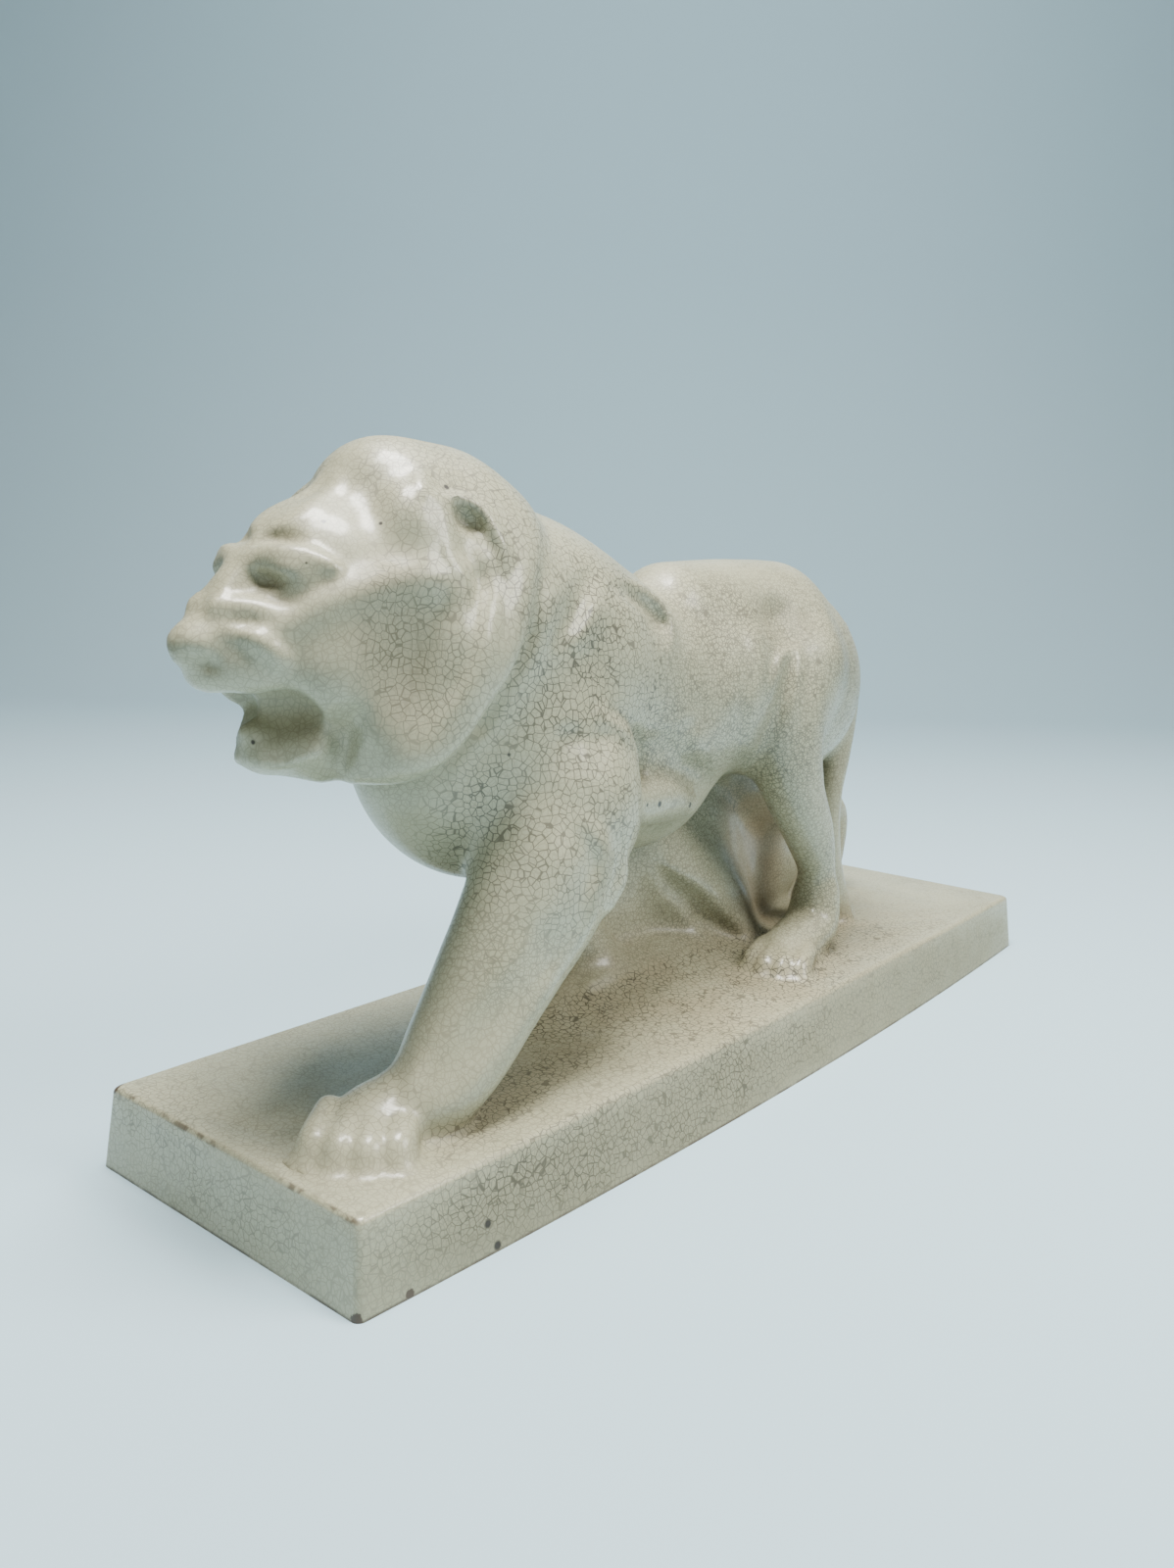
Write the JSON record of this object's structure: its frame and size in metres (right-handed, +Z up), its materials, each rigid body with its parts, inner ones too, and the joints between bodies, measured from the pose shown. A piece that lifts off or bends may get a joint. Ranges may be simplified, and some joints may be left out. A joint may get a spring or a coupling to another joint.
{
  "type": "ceramic lion figure",
  "caption": "Walking lion with an open mouth on a long rectangular slab base, slip-cast in one piece with a cream crackle glaze.",
  "frame": {"origin": "middle of the slab's underside, on its length and on its straight-sided width", "axes": "+X from the head towards the tail, so the lion faces -X; +Y towards the lion's right side; +Z up from the underside"},
  "size_m": [0.4873, 0.1439, 0.2483],
  "materials": {
    "glaze": "glossy cream glaze with a fine grey-brown crackle"
  },
  "bodies": {
    "root": {"lion_figure": "glaze"}
  },
  "joints": []
}
